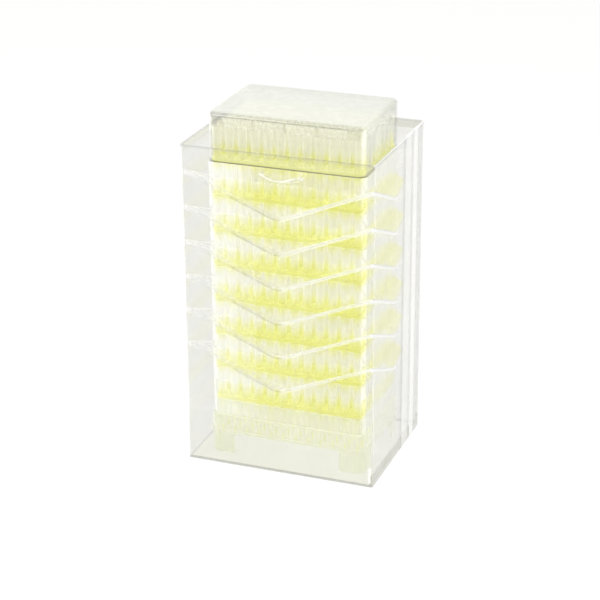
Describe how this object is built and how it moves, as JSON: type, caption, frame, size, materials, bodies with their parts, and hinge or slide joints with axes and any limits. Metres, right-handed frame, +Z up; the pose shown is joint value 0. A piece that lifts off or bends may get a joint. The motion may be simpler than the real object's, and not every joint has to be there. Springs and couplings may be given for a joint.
{
  "type": "box of pipette tips",
  "caption": "Tall clear carton holding a tower of nested yellow racks of pipette tips in clear sleeves, on a frosted base, with a lift-off clear cap.",
  "frame": {"origin": "middle of the carton's underside, on the surface it stands on", "axes": "+X right along the long side of the racks, +Y towards the back, +Z up"},
  "size_m": [0.1352, 0.105, 0.247],
  "materials": {
    "clear_sheet": "clear, glossy folded sheet",
    "formed_sheet": "clear, glossy thermoformed sheet",
    "formed_cover": "clear, glossy thermoformed sheet",
    "frosted_polypropylene": "frosted, translucent moulding",
    "yellow_polypropylene": "satin moulding",
    "natural_polypropylene": "translucent natural moulding"
  },
  "bodies": {
    "tower": {"outer_carton": "clear_sheet", "rack_base": "frosted_polypropylene", "sleeve_1": "formed_sheet", "sleeve_2": "formed_sheet", "sleeve_3": "formed_sheet", "sleeve_4": "formed_sheet", "sleeve_5": "formed_sheet", "sleeve_6": "formed_sheet", "sleeve_7": "formed_sheet", "sleeve_8": "formed_sheet", "deck_1": "yellow_polypropylene", "deck_2": "yellow_polypropylene", "deck_3": "yellow_polypropylene", "deck_4": "yellow_polypropylene", "deck_5": "yellow_polypropylene", "deck_6": "yellow_polypropylene", "deck_7": "yellow_polypropylene", "deck_8": "yellow_polypropylene", "tips_1": "natural_polypropylene", "tips_2": "natural_polypropylene", "tips_3": "natural_polypropylene", "tips_4": "natural_polypropylene", "tips_5": "natural_polypropylene", "tips_6": "natural_polypropylene", "tips_7": "natural_polypropylene", "tips_8": "natural_polypropylene"},
    "lid": {"cap": "formed_cover"}
  },
  "joints": [
    {"name": "cap_lift", "type": "slide", "parent": "tower", "child": "lid", "axis": [0, 0, 1], "range_m": [0, 0.06]}
  ]
}
